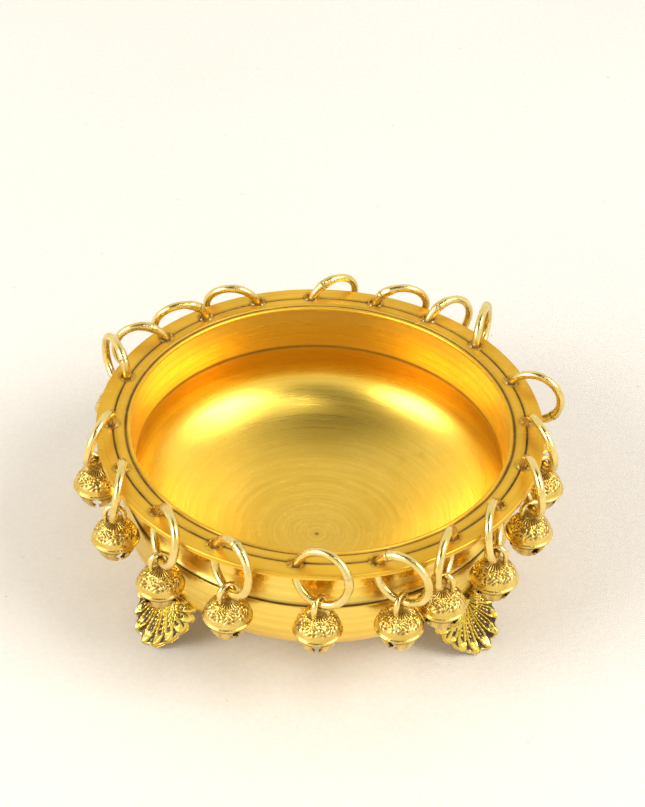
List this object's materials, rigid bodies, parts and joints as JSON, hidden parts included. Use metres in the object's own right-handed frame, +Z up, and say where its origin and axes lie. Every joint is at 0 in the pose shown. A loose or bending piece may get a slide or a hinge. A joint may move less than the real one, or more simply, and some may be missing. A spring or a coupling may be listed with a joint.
{
  "type": "decorative_bowl",
  "caption": "Round brass urli bowl with a wide flat rim, ghungroo bells hung on wire rings through holes round the rim, and cast leaf feet; holds floating flowers or fruit.",
  "frame": {"origin": "On the floor under the bowl's turning axis, in the plane the four feet stand on", "axes": "+Z up along the bowl's turning axis; +X and +Y level; the gap between the two front feet faces -Y"},
  "size_m": [0.1965, 0.198, 0.0791],
  "materials": {
    "bowl_brass": "satin, turned, lightly tarnished",
    "cast_brass": "cast, polished ridges over dark patina",
    "ring_brass": "polished wire with solder lumps",
    "bell_brass": "antiqued, dark in the recesses",
    "steel": "dull"
  },
  "bodies": {
    "bowl_body": {"bowl": "bowl_brass", "feet": "cast_brass"},
    "ring_1_body": {"ring_1": "ring_brass"},
    "bell_1_body": {"bell_1": "bell_brass"},
    "pellet_1_body": {"pellet_1": "steel"},
    "ring_2_body": {"ring_2": "ring_brass"},
    "bell_2_body": {"bell_2": "bell_brass"},
    "pellet_2_body": {"pellet_2": "steel"},
    "ring_3_body": {"ring_3": "ring_brass"},
    "bell_3_body": {"bell_3": "bell_brass"},
    "pellet_3_body": {"pellet_3": "steel"},
    "ring_4_body": {"ring_4": "ring_brass"},
    "bell_4_body": {"bell_4": "bell_brass"},
    "pellet_4_body": {"pellet_4": "steel"},
    "ring_5_body": {"ring_5": "ring_brass"},
    "bell_5_body": {"bell_5": "bell_brass"},
    "pellet_5_body": {"pellet_5": "steel"},
    "ring_6_body": {"ring_6": "ring_brass"},
    "bell_6_body": {"bell_6": "bell_brass"},
    "pellet_6_body": {"pellet_6": "steel"},
    "ring_7_body": {"ring_7": "ring_brass"},
    "bell_7_body": {"bell_7": "bell_brass"},
    "pellet_7_body": {"pellet_7": "steel"},
    "ring_8_body": {"ring_8": "ring_brass"},
    "bell_8_body": {"bell_8": "bell_brass"},
    "pellet_8_body": {"pellet_8": "steel"},
    "ring_9_body": {"ring_9": "ring_brass"},
    "bell_9_body": {"bell_9": "bell_brass"},
    "pellet_9_body": {"pellet_9": "steel"},
    "ring_10_body": {"ring_10": "ring_brass"},
    "bell_10_body": {"bell_10": "bell_brass"},
    "pellet_10_body": {"pellet_10": "steel"},
    "ring_11_body": {"ring_11": "ring_brass"},
    "bell_11_body": {"bell_11": "bell_brass"},
    "pellet_11_body": {"pellet_11": "steel"},
    "ring_12_body": {"ring_12": "ring_brass"},
    "bell_12_body": {"bell_12": "bell_brass"},
    "pellet_12_body": {"pellet_12": "steel"},
    "ring_13_body": {"ring_13": "ring_brass"},
    "bell_13_body": {"bell_13": "bell_brass"},
    "pellet_13_body": {"pellet_13": "steel"},
    "ring_14_body": {"ring_14": "ring_brass"},
    "bell_14_body": {"bell_14": "bell_brass"},
    "pellet_14_body": {"pellet_14": "steel"},
    "ring_15_body": {"ring_15": "ring_brass"},
    "bell_15_body": {"bell_15": "bell_brass"},
    "pellet_15_body": {"pellet_15": "steel"},
    "ring_16_body": {"ring_16": "ring_brass"},
    "bell_16_body": {"bell_16": "bell_brass"},
    "pellet_16_body": {"pellet_16": "steel"},
    "ring_17_body": {"ring_17": "ring_brass"},
    "bell_17_body": {"bell_17": "bell_brass"},
    "pellet_17_body": {"pellet_17": "steel"},
    "ring_18_body": {"ring_18": "ring_brass"},
    "bell_18_body": {"bell_18": "bell_brass"},
    "pellet_18_body": {"pellet_18": "steel"},
    "ring_19_body": {"ring_19": "ring_brass"},
    "bell_19_body": {"bell_19": "bell_brass"},
    "pellet_19_body": {"pellet_19": "steel"}
  },
  "joints": [
    {"name": "ring_1_swing", "type": "hinge", "parent": "bowl_body", "child": "ring_1_body", "pos_m": [-0.00721, -0.08238, 0.06535], "axis": [-0.9962, 0.0872, 0], "range_deg": [0, 10]},
    {"name": "bell_1_swing", "type": "hinge", "parent": "ring_1_body", "child": "bell_1_body", "pos_m": [0.00152, -0.08941, 0.05317], "axis": [-0.9028, 0.43, 0], "range_deg": [0, 16]},
    {"name": "pellet_1_rattle", "type": "slide", "parent": "bell_1_body", "child": "pellet_1_body", "axis": [0, 0, 1], "range_m": [0, 0.005]},
    {"name": "ring_2_swing", "type": "hinge", "parent": "bowl_body", "child": "ring_2_body", "pos_m": [0.02279, -0.0795, 0.06535], "axis": [-0.9613, -0.2756, 0], "range_deg": [0, 10]},
    {"name": "bell_2_swing", "type": "hinge", "parent": "ring_2_body", "child": "bell_2_body", "pos_m": [0.03208, -0.08443, 0.05113], "axis": [-0.8829, 0.4695, 0], "range_deg": [0, 16]},
    {"name": "pellet_2_rattle", "type": "slide", "parent": "bell_2_body", "child": "pellet_2_body", "axis": [0, 0, 1], "range_m": [0, 0.005]},
    {"name": "ring_3_swing", "type": "hinge", "parent": "bowl_body", "child": "ring_3_body", "pos_m": [0.05092, -0.06517, 0.06535], "axis": [-0.788, -0.6157, 0], "range_deg": [0, 10]},
    {"name": "bell_3_swing", "type": "hinge", "parent": "ring_3_body", "child": "bell_3_body", "pos_m": [0.04803, -0.07579, 0.05446], "axis": [-0.2756, -0.9613, 0], "range_deg": [0, 16]},
    {"name": "pellet_3_rattle", "type": "slide", "parent": "bell_3_body", "child": "pellet_3_body", "axis": [0, 0, 1], "range_m": [0, 0.005]},
    {"name": "ring_4_swing", "type": "hinge", "parent": "bowl_body", "child": "ring_4_body", "pos_m": [0.06856, -0.04625, 0.06535], "axis": [-0.5592, -0.829, 0], "range_deg": [0, 10]},
    {"name": "bell_4_swing", "type": "hinge", "parent": "ring_4_body", "child": "bell_4_body", "pos_m": [0.06875, -0.05719, 0.05192], "axis": [-0.2017, -0.9795, 0], "range_deg": [0, 16]},
    {"name": "pellet_4_rattle", "type": "slide", "parent": "bell_4_body", "child": "pellet_4_body", "axis": [0, 0, 1], "range_m": [0, 0.005]},
    {"name": "ring_5_swing", "type": "hinge", "parent": "bowl_body", "child": "ring_5_body", "pos_m": [0.0795, -0.02279, 0.06535], "axis": [-0.2756, -0.9613, 0], "range_deg": [0, 10]},
    {"name": "bell_5_swing", "type": "hinge", "parent": "ring_5_body", "child": "bell_5_body", "pos_m": [0.08318, -0.03318, 0.05401], "axis": [0.2767, -0.961, 0], "range_deg": [0, 16]},
    {"name": "pellet_5_rattle", "type": "slide", "parent": "bell_5_body", "child": "pellet_5_body", "axis": [0, 0, 1], "range_m": [0, 0.005]},
    {"name": "ring_6_swing", "type": "hinge", "parent": "bowl_body", "child": "ring_6_body", "pos_m": [0.08259, 0.00433, 0.06535], "axis": [0.0523, -0.9986, 0], "range_deg": [0, 10]},
    {"name": "bell_6_swing", "type": "hinge", "parent": "ring_6_body", "child": "bell_6_body", "pos_m": [0.08932, -0.0044, 0.0523], "axis": [0.4285, -0.9036, 0], "range_deg": [0, 16]},
    {"name": "pellet_6_rattle", "type": "slide", "parent": "bell_6_body", "child": "pellet_6_body", "axis": [0, 0, 1], "range_m": [0, 0.005]},
    {"name": "ring_7_swing", "type": "hinge", "parent": "bowl_body", "child": "ring_7_body", "pos_m": [0.07721, 0.02964, 0.06535], "axis": [0.3584, -0.9336, 0], "range_deg": [0, 10]},
    {"name": "bell_7_swing", "type": "hinge", "parent": "ring_7_body", "child": "bell_7_body", "pos_m": [0.08697, 0.02589, 0.05095], "axis": [0.9336, -0.3584, 0], "range_deg": [0, 16]},
    {"name": "pellet_7_rattle", "type": "slide", "parent": "bell_7_body", "child": "pellet_7_body", "axis": [0, 0, 1], "range_m": [0, 0.005]},
    {"name": "ring_8_swing", "type": "hinge", "parent": "bowl_body", "child": "ring_8_body", "pos_m": [0.06335, 0.05316, 0.06535], "axis": [0.6428, -0.766, 0], "range_deg": [0, 10]},
    {"name": "bell_8_swing", "type": "hinge", "parent": "ring_8_body", "child": "bell_8_body", "pos_m": [0.06638, 0.06373, 0.05454], "axis": [-0.2756, -0.9613, 0], "range_deg": [0, 16]},
    {"name": "pellet_8_rattle", "type": "slide", "parent": "bell_8_body", "child": "pellet_8_body", "axis": [0, 0, 1], "range_m": [0, 0.005]},
    {"name": "ring_9_swing", "type": "hinge", "parent": "bowl_body", "child": "ring_9_body", "pos_m": [0.04382, 0.07013, 0.06535], "axis": [0.848, -0.5299, 0], "range_deg": [0, 10]},
    {"name": "bell_9_swing", "type": "hinge", "parent": "ring_9_body", "child": "bell_9_body", "pos_m": [0.05259, 0.07561, 0.05059], "axis": [0.848, 0.5299, 0], "range_deg": [0, 16]},
    {"name": "pellet_9_rattle", "type": "slide", "parent": "bell_9_body", "child": "pellet_9_body", "axis": [0, 0, 1], "range_m": [0, 0.005]},
    {"name": "ring_10_swing", "type": "hinge", "parent": "bowl_body", "child": "ring_10_body", "pos_m": [0.0214, 0.07988, 0.06535], "axis": [0.9659, -0.2588, 0], "range_deg": [0, 10]},
    {"name": "bell_10_swing", "type": "hinge", "parent": "ring_10_body", "child": "bell_10_body", "pos_m": [0.03211, 0.08342, 0.0546], "axis": [0.9953, 0.0968, 0], "range_deg": [0, 16]},
    {"name": "pellet_10_rattle", "type": "slide", "parent": "bell_10_body", "child": "pellet_10_body", "axis": [0, 0, 1], "range_m": [0, 0.005]},
    {"name": "ring_11_swing", "type": "hinge", "parent": "bowl_body", "child": "ring_11_body", "pos_m": [-0.00577, 0.0825, 0.06535], "axis": [0.9976, 0.0698, 0], "range_deg": [0, 10]},
    {"name": "bell_11_swing", "type": "hinge", "parent": "ring_11_body", "child": "bell_11_body", "pos_m": [0.00254, 0.0894, 0.05174], "axis": [0.864, 0.5036, 0], "range_deg": [0, 16]},
    {"name": "pellet_11_rattle", "type": "slide", "parent": "bell_11_body", "child": "pellet_11_body", "axis": [0, 0, 1], "range_m": [0, 0.005]},
    {"name": "ring_12_swing", "type": "hinge", "parent": "bowl_body", "child": "ring_12_body", "pos_m": [-0.02829, 0.07771, 0.06535], "axis": [0.9397, 0.342, 0], "range_deg": [0, 10]},
    {"name": "bell_12_swing", "type": "hinge", "parent": "ring_12_body", "child": "bell_12_body", "pos_m": [-0.03917, 0.08039, 0.05317], "axis": [1, -0.0081, 0], "range_deg": [0, 16]},
    {"name": "pellet_12_rattle", "type": "slide", "parent": "bell_12_body", "child": "pellet_12_body", "axis": [0, 0, 1], "range_m": [0, 0.005]},
    {"name": "ring_13_swing", "type": "hinge", "parent": "bowl_body", "child": "ring_13_body", "pos_m": [-0.04977, 0.06605, 0.06535], "axis": [0.7986, 0.6018, 0], "range_deg": [0, 10]},
    {"name": "bell_13_swing", "type": "hinge", "parent": "ring_13_body", "child": "bell_13_body", "pos_m": [-0.061, 0.06531, 0.05524], "axis": [0.9594, 0.2822, 0], "range_deg": [0, 16]},
    {"name": "pellet_13_rattle", "type": "slide", "parent": "bell_13_body", "child": "pellet_13_body", "axis": [0, 0, 1], "range_m": [0, 0.005]},
    {"name": "ring_14_swing", "type": "hinge", "parent": "bowl_body", "child": "ring_14_body", "pos_m": [-0.06517, 0.05092, 0.06535], "axis": [0.6157, 0.788, 0], "range_deg": [0, 10]},
    {"name": "bell_14_swing", "type": "hinge", "parent": "ring_14_body", "child": "bell_14_body", "pos_m": [-0.07557, 0.04982, 0.05095], "axis": [0.9945, 0.1045, 0], "range_deg": [0, 16]},
    {"name": "pellet_14_rattle", "type": "slide", "parent": "bell_14_body", "child": "pellet_14_body", "axis": [0, 0, 1], "range_m": [0, 0.005]},
    {"name": "ring_15_swing", "type": "hinge", "parent": "bowl_body", "child": "ring_15_body", "pos_m": [-0.07909, 0.02418, 0.06535], "axis": [0.2924, 0.9563, 0], "range_deg": [0, 10]},
    {"name": "bell_15_swing", "type": "hinge", "parent": "ring_15_body", "child": "bell_15_body", "pos_m": [-0.08441, 0.03378, 0.05512], "axis": [-0.4848, 0.8746, 0], "range_deg": [0, 16]},
    {"name": "pellet_15_rattle", "type": "slide", "parent": "bell_15_body", "child": "pellet_15_body", "axis": [0, 0, 1], "range_m": [0, 0.005]},
    {"name": "ring_16_swing", "type": "hinge", "parent": "bowl_body", "child": "ring_16_body", "pos_m": [-0.0825, -0.00577, 0.06535], "axis": [-0.0698, 0.9976, 0], "range_deg": [0, 10]},
    {"name": "bell_16_swing", "type": "hinge", "parent": "ring_16_body", "child": "bell_16_body", "pos_m": [-0.088, -0.01537, 0.05583], "axis": [0.3494, 0.937, 0], "range_deg": [0, 16]},
    {"name": "pellet_16_rattle", "type": "slide", "parent": "bell_16_body", "child": "pellet_16_body", "axis": [0, 0, 1], "range_m": [0, 0.005]},
    {"name": "ring_17_swing", "type": "hinge", "parent": "bowl_body", "child": "ring_17_body", "pos_m": [-0.07613, -0.03231, 0.06535], "axis": [-0.3907, 0.9205, 0], "range_deg": [0, 10]},
    {"name": "bell_17_swing", "type": "hinge", "parent": "ring_17_body", "child": "bell_17_body", "pos_m": [-0.07829, -0.04319, 0.05316], "axis": [0.0229, 0.9997, 0], "range_deg": [0, 16]},
    {"name": "pellet_17_rattle", "type": "slide", "parent": "bell_17_body", "child": "pellet_17_body", "axis": [0, 0, 1], "range_m": [0, 0.005]},
    {"name": "ring_18_swing", "type": "hinge", "parent": "bowl_body", "child": "ring_18_body", "pos_m": [-0.06048, -0.0564, 0.06535], "axis": [-0.682, 0.7314, 0], "range_deg": [0, 10]},
    {"name": "bell_18_swing", "type": "hinge", "parent": "ring_18_body", "child": "bell_18_body", "pos_m": [-0.0589, -0.06731, 0.05201], "axis": [-0.3838, 0.9234, 0], "range_deg": [0, 16]},
    {"name": "pellet_18_rattle", "type": "slide", "parent": "bell_18_body", "child": "pellet_18_body", "axis": [0, 0, 1], "range_m": [0, 0.005]},
    {"name": "ring_19_swing", "type": "hinge", "parent": "bowl_body", "child": "ring_19_body", "pos_m": [-0.03755, -0.07369, 0.06535], "axis": [-0.891, 0.454, 0], "range_deg": [0, 10]},
    {"name": "bell_19_swing", "type": "hinge", "parent": "ring_19_body", "child": "bell_19_body", "pos_m": [-0.03236, -0.08336, 0.05253], "axis": [-0.612, 0.7909, 0], "range_deg": [0, 16]},
    {"name": "pellet_19_rattle", "type": "slide", "parent": "bell_19_body", "child": "pellet_19_body", "axis": [0, 0, 1], "range_m": [0, 0.005]}
  ]
}
